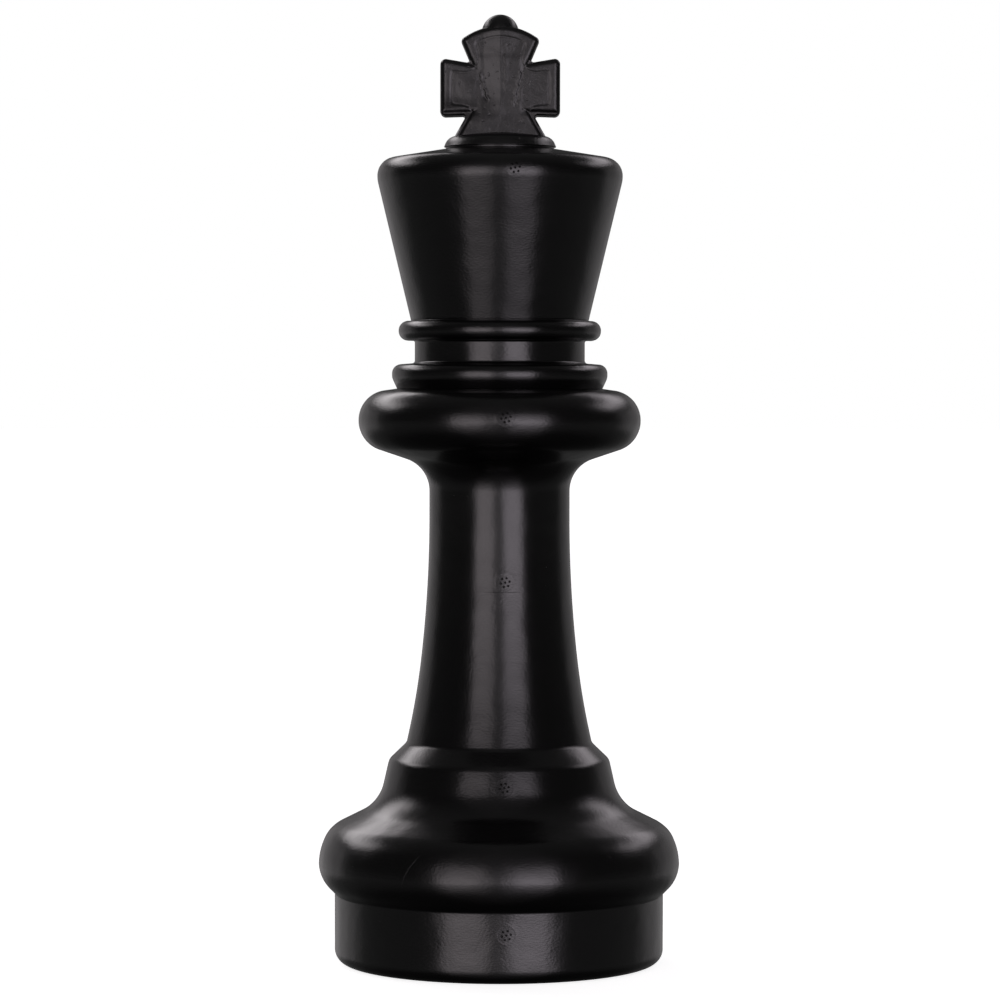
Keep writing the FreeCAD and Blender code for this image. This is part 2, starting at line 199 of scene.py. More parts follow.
class KingSettings(bpy.types.PropertyGroup):
    """Sizes and colours that a user would change."""

    segments: IntProperty(
        name="Segments", description="Facets round a turned shell", default=240, min=48)
    vent_turn_body: FloatProperty(
        name="Body vent turn", description="Where the body's vents face, from straight ahead",
        default=math.radians(2.5), subtype="ANGLE")
    vent_turn_head: FloatProperty(
        name="Head vent turn", description="Where the head's vent faces, from straight ahead",
        default=math.radians(6.9), subtype="ANGLE")
    seam_height: FloatProperty(
        name="Parting line height", description="How far the mould's parting line stands proud",
        default=0.08 * MM, unit="LENGTH", precision=5)
    vent_radius: FloatProperty(
        name="Vent radius", description="Radius of a vent insert's witness circle",
        default=6.2 * MM, unit="LENGTH", precision=5)
    vent_hole_radius: FloatProperty(
        name="Vent hole radius", description="Radius of each small hole in a vent insert",
        default=0.8 * MM, unit="LENGTH", precision=5)
    shell_colour: FloatVectorProperty(
        name="Shell colour", description="Black of the moulded shells", size=4, subtype="COLOR",
        min=0.0, max=1.0, default=(0.0032, 0.0031, 0.0033, 1.0))
    cross_colour: FloatVectorProperty(
        name="Cross colour", description="Greyer black of the cross", size=4, subtype="COLOR",
        min=0.0, max=1.0, default=(0.005, 0.0048, 0.005, 1.0))
    shell_roughness: FloatProperty(
        name="Shell roughness", description="Satin gloss of the shells", default=0.22, min=0.0, max=1.0)
    cross_roughness: FloatProperty(
        name="Cross roughness", description="Matt gloss of the cross", default=0.3, min=0.0, max=1.0)


class StudioSettings(bpy.types.PropertyGroup):
    """The camera and lights."""

    camera_distance: FloatProperty(
        name="Camera distance", description="From the king's axis", default=2.7, unit="LENGTH")
    camera_height: FloatProperty(
        name="Camera height", description="Above the floor", default=0.39, unit="LENGTH")
    camera_tilt: FloatProperty(
        name="Camera tilt", description="Below the horizon", default=math.radians(1.6834), subtype="ANGLE")
    camera_shift: FloatProperty(
        name="Camera shift", description="Sideways from straight ahead", default=0.00017, unit="LENGTH",
        precision=5)
    camera_roll: FloatProperty(
        name="Camera roll", description="About its own line of sight", default=math.radians(-0.09),
        subtype="ANGLE")
    lens: FloatProperty(name="Lens", description="Focal length in millimetres", default=145.0753)
    key_radiance: FloatProperty(
        name="Key brightness", description="Brightness of the front softboxes", default=3.45)
    back_radiance: FloatProperty(
        name="Rim brightness", description="Brightness of the high side softboxes", default=3.8)
    glossy_ambient: FloatProperty(
        name="Room brightness", description="Brightness of the dark studio in reflections", default=0.06)


# ------------------------------------------------------------------ outline geometry

def rounded(corners, degrees=4.0, longest=None, closed=False):
    """Points along an outline, in millimetres, its corners rounded by tangent arcs."""
    count = len(corners)
    points = []
    for i, (x, z, radius) in enumerate(corners):
        here = np.array((x, z))
        if radius <= 0.0 or (not closed and i in (0, count - 1)):
            points.append(here)
            continue
        before = np.array(corners[i - 1][:2])
        after = np.array(corners[(i + 1) % count][:2])
        u = (before - here) / np.linalg.norm(before - here)
        v = (after - here) / np.linalg.norm(after - here)
        half = math.acos(float(np.clip(u @ v, -1.0, 1.0))) / 2
        middle = (u + v) / np.linalg.norm(u + v)
        centre = here + middle * radius / math.sin(half)
        start = here + u * radius / math.tan(half) - centre
        turn = math.pi - 2 * half
        if u[0] * v[1] - u[1] * v[0] > 0:
            turn = -turn
        steps = max(2, math.ceil(abs(math.degrees(turn)) / degrees))
        if longest:
            steps = max(steps, math.ceil(abs(turn) * radius / longest))
        for k in range(steps + 1):
            angle = turn * k / steps
            c, s = math.cos(angle), math.sin(angle)
            points.append(centre + np.array((c * start[0] - s * start[1], s * start[0] + c * start[1])))
    if closed:
        points.append(points[0])
    if longest:
        fine = [points[0]]
        for a, b in zip(points[:-1], points[1:]):
            parts = max(1, math.ceil(float(np.linalg.norm(b - a)) / longest))
            fine += [a + (b - a) * k / parts for k in range(1, parts + 1)]
        points = fine
    if closed:
        points.pop()
    return np.array(points)


def inset(corners, gap):
    """An open outline moved inwards by gap millimetres."""
    moved = []
    for i, (x, z, radius) in enumerate(corners):
        here = np.array((x, z))
        before = np.array(corners[max(i - 1, 0)][:2])
        after = np.array(corners[min(i + 1, len(corners) - 1)][:2])
        into = here - before if i else after - here
        out = after - here if i < len(corners) - 1 else into
        into = into / np.linalg.norm(into)
        out = out / np.linalg.norm(out)
        shift = np.array((-into[1] - out[1], into[0] + out[0])) * gap / (1 + into @ out)
        outward = into[0] * out[1] - into[1] * out[0] > 0
        new_radius = max(radius - gap if outward else radius + gap, 0.4) if radius else 0.0
        x_new, z_new = here + shift
        moved.append((0.0 if x == 0.0 else float(x_new), float(z_new), new_radius))
    return moved


class Skin:
    """The outside of a turned shell, for laying marks on: azimuth and distance along the outline."""

    def __init__(self, corners):
        points = rounded(corners, 1.0, 0.5)
        steps = np.linalg.norm(np.diff(points, axis=0), axis=1)
        keep = np.concatenate(([True], steps > 1e-6))
        self.points = points[keep]
        steps = np.linalg.norm(np.diff(self.points, axis=0), axis=1)
        self.along = np.concatenate(([0.0], np.cumsum(steps)))

    def find(self, z, least_radius):
        """Distance along the outline where it is at height z, outside least_radius."""
        far = self.points[:, 0] > least_radius
        gap = np.where(far, np.abs(self.points[:, 1] - z), 1e9)
        return float(self.along[int(np.argmin(gap))])

    def locate(self, points):
        """Distance along the outline of points that lie on it."""
        starts, ends = self.points[:-1], self.points[1:]
        steps = ends - starts
        found = []
        for p in points:
            t = np.clip(((p - starts) * steps).sum(axis=1) / (steps ** 2).sum(axis=1), 0.0, 1.0)
            near = int(np.argmin(np.linalg.norm(starts + steps * t[:, None] - p, axis=1)))
            found.append(self.along[near] + t[near] * (self.along[near + 1] - self.along[near]))
        return np.array(found)

    def place(self, azimuth, along, lift=0.0):
        """A point on the skin, in metres. Azimuth is measured from -Y towards +X."""
        r = float(np.interp(along, self.along, self.points[:, 0]))
        z = float(np.interp(along, self.along, self.points[:, 1]))
        n_r, n_z = self.normal(along)
        r, z = (r + n_r * lift) * MM, (z + n_z * lift) * MM
        return Vector((r * math.sin(azimuth), -r * math.cos(azimuth), z))

    def normal(self, along):
        """Outward direction at a distance along the outline, as (radial, upward)."""
        ahead = np.array([np.interp(along + 0.4, self.along, self.points[:, k]) for k in (0, 1)])
        behind = np.array([np.interp(along - 0.4, self.along, self.points[:, k]) for k in (0, 1)])
        t = (ahead - behind) / max(float(np.linalg.norm(ahead - behind)), 1e-9)
        return float(t[1]), float(-t[0])

    def normal_vector(self, azimuth, along):
        n_r, n_z = self.normal(along)
        return Vector((n_r * math.sin(azimuth), -n_r * math.cos(azimuth), n_z))

    def radius(self, along):
        return float(np.interp(along, self.along, self.points[:, 0]))


# ------------------------------------------------------------------ mesh helpers

def new_object(name, body, vertices, faces, material, slot, smooth_angle=35.0):
    """A mesh object that rides on a body, smooth except at its sharp edges."""
    mesh = bpy.data.meshes.new(name)
    mesh.from_pydata([tuple(v) for v in vertices], [], faces)
    mesh.validate()
    piece = bpy.data.objects.new(name, mesh)
    bpy.context.scene.collection.objects.link(piece)
    finish_mesh(piece, smooth_angle)
    mesh.materials.append(material)
    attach(piece, body)
    return piece


def finish_mesh(piece, smooth_angle):
    """Merge doubled points, turn the faces outwards and shade smooth up to an angle."""
    work = bmesh.new()
    work.from_mesh(piece.data)
    bmesh.ops.remove_doubles(work, verts=work.verts, dist=1e-7)
    bmesh.ops.dissolve_degenerate(work, edges=work.edges, dist=1e-8)
    bmesh.ops.recalc_face_normals(work, faces=work.faces)
    work.to_mesh(piece.data)
    work.free()
    piece.data.shade_smooth()
    piece.data.set_sharp_from_angle(angle=math.radians(smooth_angle))


def turned(profile, azimuths, offset=None, closed=True):
    """Vertices and quads of an outline turned about Z. offset gives an outward shift in millimetres."""
    rows = len(profile)
    columns = len(azimuths)
    tangents = np.roll(profile, -1, axis=0) - np.roll(profile, 1, axis=0)
    lengths = np.maximum(np.linalg.norm(tangents, axis=1, keepdims=True), 1e-9)
    normals = np.stack((tangents[:, 1], -tangents[:, 0]), axis=1) / lengths
    vertices = []
    for azimuth in azimuths:
        shift = offset(azimuth, profile) if offset else np.zeros(rows)
        ring = profile + normals * shift[:, None]
        x = ring[:, 0] * math.sin(azimuth)
        y = -ring[:, 0] * math.cos(azimuth)
        vertices.append(np.stack((x, y, ring[:, 1]), axis=1) * MM)
    vertices = np.concatenate(vertices)
    faces = []
    last_row = rows if closed else rows - 1
    for j in range(columns):
        for i in range(last_row):
            a = j * rows + i
            b = j * rows + (i + 1) % rows
            c = ((j + 1) % columns) * rows + (i + 1) % rows
            d = ((j + 1) % columns) * rows + i
            faces.append((a, b, c, d))
    return vertices, faces


def shell_azimuths(segments, seams):
    """Even steps round the axis, with extra ones across each parting line."""
    angles = [math.tau * k / segments for k in range(segments)]
    extra = [math.radians(d) for d in (-0.75, -0.5, -0.35, -0.2, 0.0, 0.2, 0.35, 0.5, 0.75)]
    near = math.radians(0.9)
    for seam in seams:
        angles = [a for a in angles if abs((a - seam + math.pi) % math.tau - math.pi) > near]
        angles += [(seam + e) % math.tau for e in extra]
    return sorted(angles)


def seam_shift(azimuth, profile, seams, height):
    """Outward shift of a parting line: a fine rounded ridge about a millimetre wide."""
    shift = np.zeros(len(profile))
    for seam in seams:
        turn = abs((azimuth - seam + math.pi) % math.tau - math.pi)
        across = turn * np.maximum(profile[:, 0], 1.0)
        shift = np.maximum(shift, height * np.exp(-((across / 0.42) ** 2)))
    return shift


def witness_line(skin, turn, start, end, bow, width, lift):
    """A fine raised line on a skin from one (azimuth, height) to another, turned round the axis.

    It is bowed sideways and fades out at both ends. Returns vertices and faces."""
    section = [(-0.5, -0.12), (-0.32, 0.6), (0.0, 1.0), (0.32, 0.6), (0.5, -0.12)]
    size = len(section)
    count = 25
    path = []
    for k in range(count):
        t = k / (count - 1)
        azimuth = turn + start[0] + (end[0] - start[0]) * t + bow * math.sin(math.pi * t)
        path.append((azimuth, skin.find(start[1] + (end[1] - start[1]) * t, AXIS_CLEAR)))
    vertices = []
    faces = []
    for k, (azimuth, along) in enumerate(path):
        step = skin.place(*path[min(k + 1, count - 1)]) - skin.place(*path[max(k - 1, 0)])
        side = step.normalized().cross(skin.normal_vector(azimuth, along)).normalized()
        fade = min(1.0, 4.0 * min(k, count - 1 - k) / count + 0.02)
        for across, up in section:
            rise = lift * (up * fade if up > 0 else up)
            vertices.append(skin.place(azimuth, along, rise) + side * (across * width * MM))
    for k in range(count - 1):
        a, b = k * size, (k + 1) * size
        faces += [(a + j, a + j + 1, b + j + 1, b + j) for j in range(size - 1)]
        faces.append((a, b, b + size - 1, a + size - 1))
    faces.append(tuple(range(size)))
    faces.append(tuple(range((count - 1) * size, count * size)))
    return vertices, faces


def joined(parts):
    """Several (vertices, faces) as one."""
    vertices = []
    faces = []
    for part_vertices, part_faces in parts:
        base = len(vertices)
        vertices += list(part_vertices)
        faces += [tuple(base + i for i in face) for face in part_faces]
    return vertices, faces


def circle_points(across, up, reach, sides, lift=0.0, turn=0.0):
    """Points of a circle on a patch as (across, up, lift)."""
    angles = [turn + math.tau * k / sides for k in range(sides)]
    return [(across + reach * math.cos(a), up + reach * math.sin(a), lift) for a in angles]


def vent_points(radius, hole_radius, proud):
    """Inner points of a vent insert's patch as (across, up, lift), and its hole circles by index.

    The insert's witness circle stands proud by the given height."""
    points = []
    circles = []
    centres = [(0.0, 0.0)] + [p[:2] for p in circle_points(0.0, 0.0, HOLE_PITCH, 6, turn=HOLE_TURN)]
    for across, up in centres:
        circles.append(list(range(len(points), len(points) + HOLE_SIDES)))
        for reach in (hole_radius, hole_radius * 1.3):
            points += circle_points(across, up, reach, HOLE_SIDES)
    for step, share in ((-0.5, 0.0), (-0.25, 0.56), (0.0, 1.0), (0.25, 0.56), (0.5, 0.0)):
        points += circle_points(0.0, 0.0, radius + step, CIRCLE_SIDES, share * proud)
    spacing = 0.9
    span = math.ceil(radius / spacing)
    for i in range(-span, span + 1):
        for j in range(-span, span + 1):
            across, up = i * spacing, j * spacing
            clear = min(math.hypot(across - x, up - y) for x, y in centres) > hole_radius * 1.9
            if clear and math.hypot(across, up) < radius - spacing:
                points.append((across, up, 0.0))
    return points, circles


def set_vent(skin, vertices, faces, rows, azimuths, row_along, azimuth, along, proud, king):
    """Swap a window of a turned grid for a patch with one vent insert's circle and seven drilled holes.

    Returns the patch's vertices and faces, and the grid faces that it stands in for."""
    radius = king.vent_radius / MM
    reach = radius + 1.2
    local_radius = skin.radius(along)
    delta = (np.array(azimuths) - azimuth + math.pi) % math.tau - math.pi
    order = np.argsort(delta)
    across = delta[order] * local_radius
    first = int(np.searchsorted(across, -reach)) - 1
    last = int(np.searchsorted(across, reach))
    columns = [int(c) for c in order[first:last + 1]]
    column_across = across[first:last + 1]
    low = int(np.searchsorted(row_along, along - reach)) - 1
    high = int(np.searchsorted(row_along, along + reach))
    span = range(low, high + 1)
    loop = [(0, i) for i in span][::-1] + [(c, low) for c in range(1, len(columns))]
    loop += [(len(columns) - 1, i) for i in span][1:] + [(c, high) for c in range(len(columns) - 2, 0, -1)]
    edge_points = [(float(column_across[c]), float(row_along[i] - along)) for c, i in loop]
    edge_ids = [columns[c] * rows + i for c, i in loop]
    inner, circles = vent_points(radius, king.vent_hole_radius / MM, proud)
    outline = [Vector(p) for p in edge_points] + [Vector(p[:2]) for p in inner]
    count = len(edge_points)
    edges = [(k, (k + 1) % count) for k in range(count)]
    for circle in circles:
        edges += [(count + circle[k], count + circle[(k + 1) % len(circle)]) for k in range(len(circle))]
    solved = delaunay_2d_cdt(outline, edges, [], 1, 1e-6)
    origins = [sources[0] for sources in solved[3]]
    base = len(vertices)
    placed = [skin.place(azimuth + a / local_radius, along + u, lift) for a, u, lift in inner]

    def vertex_id(origin):
        return edge_ids[origin] if origin < count else base + origin - count

    hole_middles = [np.mean([inner[k][:2] for k in circle], axis=0) for circle in circles]
    patch = []
    for triangle in solved[2]:
        ids = [origins[k] for k in triangle]
        middle = sum((outline[k] for k in ids), Vector((0.0, 0.0))) / 3
        within = min(math.hypot(middle.x - x, middle.y - y) for x, y in hole_middles)
        if within > king.vent_hole_radius / MM * 0.97:
            patch.append(tuple(vertex_id(k) for k in ids))
    for circle, (middle_across, middle_up) in zip(circles, hole_middles):
        floor = base + len(placed)
        for k in circle:
            a, u = inner[k][:2]
            placed.append(skin.place(azimuth + a / local_radius, along + u, HOLE_FLOOR))
        tip = base + len(placed)
        placed.append(skin.place(azimuth + middle_across / local_radius, along + middle_up, HOLE_TIP))
        size = len(circle)
        for k in range(size):
            n = (k + 1) % size
            patch.append((base + circle[k], base + circle[n], floor + n, floor + k))
            patch.append((floor + k, floor + n, tip))
    last_row = len(faces) // len(azimuths)
    removed = {columns[c] * last_row + i for c in range(len(columns) - 1) for i in range(low, high)}
    return placed, patch, removed


def with_vents(skin, profile, outside_count, azimuths, vertices, faces, vents, front, proud, king):
    """A turned shell with its vent inserts set into it, once in front and once behind."""
    rows = len(profile)
    row_along = skin.locate(profile[:outside_count])
    vertices = list(vertices)
    patches = []
    gone = set()
    for turn, (height, aside) in itertools.product((0.0, math.pi), vents):
        placed, patch, removed = set_vent(
            skin, vertices, faces, rows, azimuths, row_along,
            front + turn + aside, skin.find(height, AXIS_CLEAR), proud, king)
        vertices += placed
        patches += patch
        gone |= removed
    return vertices, [f for k, f in enumerate(faces) if k not in gone] + patches


# ------------------------------------------------------------------ materials

def add(tree, kind, **values):
    """A node in the next place of its tree's grid, with attributes set on it."""
    node = tree.nodes.new(kind)
    row, column = divmod(len(tree.nodes), NODE_COLUMNS)
    node.location = (column * NODE_STEP, -row * NODE_STEP)
    for name, value in values.items():
        setattr(node, name, value)
    return node


def feed(tree, node, **inputs):
    """Link or set a node's inputs by name, with _ for a space in the name."""
    for name, value in inputs.items():
        socket = node.inputs[name.replace("_", " ")]
        if isinstance(value, bpy.types.NodeSocket):
            tree.links.new(value, socket)
        else:
            socket.default_value = value
    return node


def noise(tree, source, scale, detail=2.0, roughness=0.5):
    node = add(tree, "ShaderNodeTexNoise")
    feed(tree, node, Vector=source, Scale=scale, Detail=detail, Roughness=roughness)
    return node.outputs["Fac"]


def math_node(tree, operation, *values, clamp=False):
    """A Math node whose inputs are numbers or sockets."""
    node = add(tree, "ShaderNodeMath", operation=operation, use_clamp=clamp)
    for socket, value in zip(node.inputs, values):
        if isinstance(value, bpy.types.NodeSocket):
            tree.links.new(value, socket)
        else:
            socket.default_value = value
    return node.outputs[0]


def ramp(tree, value, low, high, to_low=0.0, to_high=1.0):
    """A smooth step of a value between two levels."""
    node = add(tree, "ShaderNodeMapRange", interpolation_type="SMOOTHSTEP")
    feed(tree, node, Value=value, From_Min=low, From_Max=high, To_Min=to_low, To_Max=to_high)
    return node.outputs["Result"]


def stretched(tree, source, scale, turn=(0.0, 0.0, 0.0)):
    node = feed(tree, add(tree, "ShaderNodeMapping"), Vector=source, Scale=scale, Rotation=turn)
    return node.outputs["Vector"]


def cells(tree, source, scale):
    """A Voronoi texture node."""
    return feed(tree, add(tree, "ShaderNodeTexVoronoi"), Vector=source, Scale=scale)


def new_group(name, inputs, outputs):
    """A shader node group with named sockets. Returns its tree, input sockets, end and place."""
    group = bpy.data.node_groups.new(name, "ShaderNodeTree")
    for socket_name, kind, default in inputs:
        socket = group.interface.new_socket(name=socket_name, in_out="INPUT", socket_type=kind)
        socket.default_value = default
    for socket_name, kind in outputs:
        group.interface.new_socket(name=socket_name, in_out="OUTPUT", socket_type=kind)
    start = add(group, "NodeGroupInput").outputs
    end = add(group, "NodeGroupOutput")
    return group, start, end, add(group, "ShaderNodeTexCoord").outputs["Object"]


def orange_peel_group():
    """The fine dimpled skin that a blow mould leaves, with slow swells under it."""
    group, start, end, place = new_group(
        "Orange Peel",
        [("Dimple Scale", "NodeSocketFloat", 520.0), ("Swell Scale", "NodeSocketFloat", 60.0),
         ("Swell Depth", "NodeSocketFloat", 4.0)],
        [("Height", "NodeSocketFloat")])
    flat = stretched(group, place, (1.0, 1.0, 2.0))
    fine = noise(group, flat, start["Dimple Scale"], 1.5, 0.45)
    swell = noise(group, place, start["Swell Scale"], 1.0, 0.4)
    deep = math_node(group, "MULTIPLY", swell, start["Swell Depth"])
    feed(group, end, Height=math_node(group, "ADD", fine, deep))
    return group


def handling_group():
    """Pale specks of dust and a few hairline scratches from being carried about."""
    group, start, end, place = new_group(
        "Handling Marks",
        [("Colour", "NodeSocketColor", (0.003, 0.003, 0.003, 1.0)),
         ("Mark Colour", "NodeSocketColor", (0.06, 0.058, 0.058, 1.0)),
         ("Roughness", "NodeSocketFloat", 0.3), ("Speck Amount", "NodeSocketFloat", 0.5),
         ("Mottle", "NodeSocketFloat", 0.06)],
        [("Colour", "NodeSocketColor"), ("Roughness", "NodeSocketFloat"), ("Mark", "NodeSocketFloat")])
    speck = ramp(group, cells(group, place, 95.0).outputs["Distance"], 0.035, 0.0)
    thin_out = ramp(group, noise(group, place, 38.0), 0.6, 0.68)
    specks = math_node(group, "MULTIPLY", speck, thin_out)
    lines = stretched(group, place, (60.0, 900.0, 900.0), (0.4, 0.5, 0.7))
    hair = ramp(group, noise(group, lines, 1.0, 0.0), 0.84, 0.9)
    patch = ramp(group, noise(group, place, 22.0), 0.58, 0.66)
    hairs = math_node(group, "MULTIPLY", hair, patch)
    both = math_node(group, "ADD", specks, hairs, clamp=True)
    amount = math_node(group, "MULTIPLY", both, start["Speck Amount"], clamp=True)
    mix = feed(group, add(group, "ShaderNodeMix", data_type="RGBA"),
               Factor=amount, A=start["Colour"], B=start["Mark Colour"])
    centred = math_node(group, "SUBTRACT", noise(group, place, 45.0, 3.0), 0.5)
    swing = math_node(group, "MULTIPLY", centred, start["Mottle"])
    base = math_node(group, "ADD", start["Roughness"], swing)
    rough = math_node(group, "ADD", base, math_node(group, "MULTIPLY", amount, 0.25), clamp=True)
    feed(group, end, Colour=mix.outputs["Result"], Roughness=rough, Mark=amount)
    return group


def pitted_group():
    """Diagonal ripples and pits in a thick moulded face."""
    group, start, end, place = new_group(
        "Pits and Ripples",
        [("Ripple Scale", "NodeSocketFloat", 1.0), ("Pit Scale", "NodeSocketFloat", 330.0)],
        [("Height", "NodeSocketFloat")])
    slant = stretched(group, place, (420.0, 200.0, 170.0), (0.0, math.radians(38), 0.0))
    ripple = noise(group, slant, start["Ripple Scale"], 2.0, 0.55)
    deep = ramp(group, noise(group, place, start["Pit Scale"], 1.0), 0.66, 0.78, 0.0, -1.0)
    feed(group, end, Height=math_node(group, "ADD", ripple, deep))
    return group


def new_material(name):
    material = bpy.data.materials.new(name)
    material.use_nodes = True
    tree = material.node_tree
    shader = next(n for n in tree.nodes if n.type == "BSDF_PRINCIPLED")
    return material, tree, shader


def bump(tree, shader, height, depth, under=None):
    """A Bump node feeding the shader's normal, its depth in millimetres, over another one if given."""
    node = feed(tree, add(tree, "ShaderNodeBump"), Height=height, Strength=1.0, Distance=depth * MM)
    if under:
        feed(tree, node, Normal=under.outputs["Normal"])
    feed(tree, shader, Normal=node.outputs["Normal"])
    return node


def sand_material():
    """Dry sand: grains of mixed tints, each a small mound."""
    material, tree, shader = new_material("Dry Sand")
    place = add(tree, "ShaderNodeTexCoord").outputs["Object"]
    grains = cells(tree, place, 1500.0)
    tone = feed(tree, add(tree, "ShaderNodeSeparateColor"), Color=grains.outputs["Color"])
    tints = feed(tree, add(tree, "ShaderNodeValToRGB"), Fac=tone.outputs["Red"])
    tints.color_ramp.elements[0].color = (0.34, 0.22, 0.11, 1.0)
    tints.color_ramp.elements[1].color = (0.74, 0.6, 0.4, 1.0)
    rough = ramp(tree, noise(tree, place, 300.0), 0.3, 0.7, 0.75, 0.95)
    feed(tree, shader, Base_Color=tints.outputs["Color"], Roughness=rough)
    bump(tree, shader, grains.outputs["Distance"], 0.4)
    return material


def build_materials(king):
    """Every finish of the king by the name of its record slot."""
    peel_group, marks_group, pits_group = orange_peel_group(), handling_group(), pitted_group()
    dust = (0.06, 0.058, 0.058, 1.0)
    # slot, name, colour, roughness, speck amount, mark colour, mottle, dimple and swell scale, dimple depth
    table = (
        ("black_plastic", "Satin Black Shell", king.shell_colour, king.shell_roughness,
         0.5, dust, 0.06, 520.0, 60.0, 0.085),
        ("cross_plastic", "Matt Black Cross", king.cross_colour, king.cross_roughness,
         0.4, dust, 0.06, 800.0, 140.0, 0.04),
        ("plug_plastic", "Plug Plastic", (0.006, 0.006, 0.006, 1.0), 0.38,
         0.4, dust, 0.06, 1400.0, 200.0, 0.012),
        ("hidden_plastic", "Nut Plastic", (0.55, 0.54, 0.5, 1.0), 0.45,
         0.3, (0.3, 0.29, 0.27, 1.0), 0.06, 1400.0, 200.0, 0.012),
        ("black_rubber", "Ring Rubber", (0.012, 0.012, 0.012, 1.0), 0.62,
         0.8, (0.12, 0.115, 0.11, 1.0), 0.2, 2200.0, 300.0, 0.03),
    )
    finishes = {"sand": sand_material()}
    for slot, name, colour, roughness, specks, mark, mottle, dimples, swells, depth in table:
        material, tree, shader = new_material(name)
        marks = feed(tree, add(tree, "ShaderNodeGroup", node_tree=marks_group), Colour=colour,
                     Roughness=roughness, Speck_Amount=specks, Mark_Colour=mark, Mottle=mottle)
        feed(tree, shader, Base_Color=marks.outputs["Colour"], Roughness=marks.outputs["Roughness"])
        peel = feed(tree, add(tree, "ShaderNodeGroup", node_tree=peel_group),
                    Dimple_Scale=dimples, Swell_Scale=swells)
        skin = bump(tree, shader, peel.outputs["Height"], depth)
        if slot == "cross_plastic":
            pits = add(tree, "ShaderNodeGroup", node_tree=pits_group)
            bump(tree, shader, pits.outputs["Height"], 0.14, under=skin)
        finishes[slot] = material
    return finishes


def finish_for(slot):
    """The finish of a record slot, made on first use."""
    made = bpy.context.scene.get("king_finishes_made")
    if not made:
        for name, material in build_materials(bpy.context.scene.king_settings).items():
            material["king_slot"] = name
        bpy.context.scene["king_finishes_made"] = 1
    return next(m for m in bpy.data.materials if m.get("king_slot") == slot)


# ------------------------------------------------------------------ turned shells

def helix_shift(azimuth, z, thread):
    """Depth of a thread at an azimuth and heights: full over its crest, gone beyond its flanks."""
    phase_z, half_width, flank, depth = thread
    turn = (azimuth / math.tau - 0.25) * THREAD_PITCH
    off = np.abs((z - phase_z - turn + THREAD_PITCH / 2) % THREAD_PITCH - THREAD_PITCH / 2)
    return depth * np.clip((half_width - off) / flank, 0.0, 1.0)


def body_profile():
    """The body's wall in section as a closed loop, and how many of its points are outside."""
    outside = rounded(BODY_OUTSIDE, 4.0, 5.0)
    hollow_corners = inset([(0.0, RECESS_Z, 0.0)] + BODY_OUTSIDE[1:], BODY_WALL)
    hollow_corners[0] = (BOSS_RADIUS, hollow_corners[0][1], 0.0)
    hollow = rounded(hollow_corners, 8.0, 12.0)[::-1]
    port_rows = np.arange(PORT_TOP_Z, RECESS_Z, -0.4)
    port = np.stack((np.full(len(port_rows), PORT_RADIUS), port_rows), axis=1)
    boss = np.array([(BOSS_RADIUS, PORT_TOP_Z)])
    return np.concatenate((outside, hollow, boss, port)), len(outside)


def head_profile():
    """The head's wall in section as a closed loop, and how many of its points are outside."""
    outside = rounded(HEAD_OUTSIDE, 4.0, 5.0)
    whole = [(0.0, SEAT_Z, 0.0)] + HEAD_OUTSIDE[1:-1] + [(0.0, FINIAL_SEAT_Z, 0.0)]
    hollow_corners = inset(whole, HEAD_WALL)
    hollow_corners[0] = (HEAD_OUTSIDE[0][0], hollow_corners[0][1], 0.0)
    hollow_corners[-1] = (HEAD_OUTSIDE[-1][0], hollow_corners[-1][1], 0.0)
    hollow = rounded(hollow_corners, 8.0, 12.0)[::-1]
    return np.concatenate((outside, hollow)), len(outside)


def drop_axis_faces(vertices, faces):
    """Leave out faces that have no width because they lie on the axis."""
    on_axis = np.array([math.hypot(v[0], v[1]) < 1e-9 for v in vertices])
    return [f for f in faces if on_axis[list(f)].sum() < 3]


class KING_OT_body(bpy.types.Operator):
    """Build the blow-moulded body: foot, bulge, tier, shaft, collar, spigot and threaded fill port"""

    bl_idname = "king.body"
    bl_label = "Body Shell"

    def execute(self, context):
        king = context.scene.king_settings
        profile, outside_count = body_profile()
        seams = [king.vent_turn_body + math.pi / 2, king.vent_turn_body - math.pi / 2]
        outside = np.arange(len(profile)) < outside_count
        shown = outside & (profile[:, 0] > SEAM_LEAST_RADIUS) & (profile[:, 1] > SEAM_LOW_Z)
        shown &= profile[:, 1] < SEAT_Z - SEAM_CLEAR
        port = ~outside & (profile[:, 0] < PORT_RADIUS + 0.01)

        def offset(azimuth, points):
            ridge = seam_shift(azimuth, points, seams, king.seam_height / MM) * shown
            groove = helix_shift(azimuth, points[:, 1], PORT_THREAD)
            return ridge - groove * port

        azimuths = shell_azimuths(king.segments, seams)
        vertices, faces = turned(profile, azimuths, offset)
        skin = Skin(BODY_OUTSIDE)
        front = king.vent_turn_body
        vertices, faces = with_vents(
            skin, profile, outside_count, azimuths, vertices, faces, BODY_VENTS, front, BODY_VENT_PROUD, king)
        faces = drop_axis_faces(vertices, faces)
        marks = [(vertices, faces)]
        for turn in (0.0, math.pi):
            marks += [witness_line(skin, front + turn, *line) for line in SHAFT_LINES]
        marks += [witness_line(skin, 0.0, *line) for line in BULGE_LINES]
        shell = new_object("body_shell_moulded", "body", *joined(marks), finish_for("black_plastic"),
                           "black_plastic")
        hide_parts("body_shell")
        return {"FINISHED"}


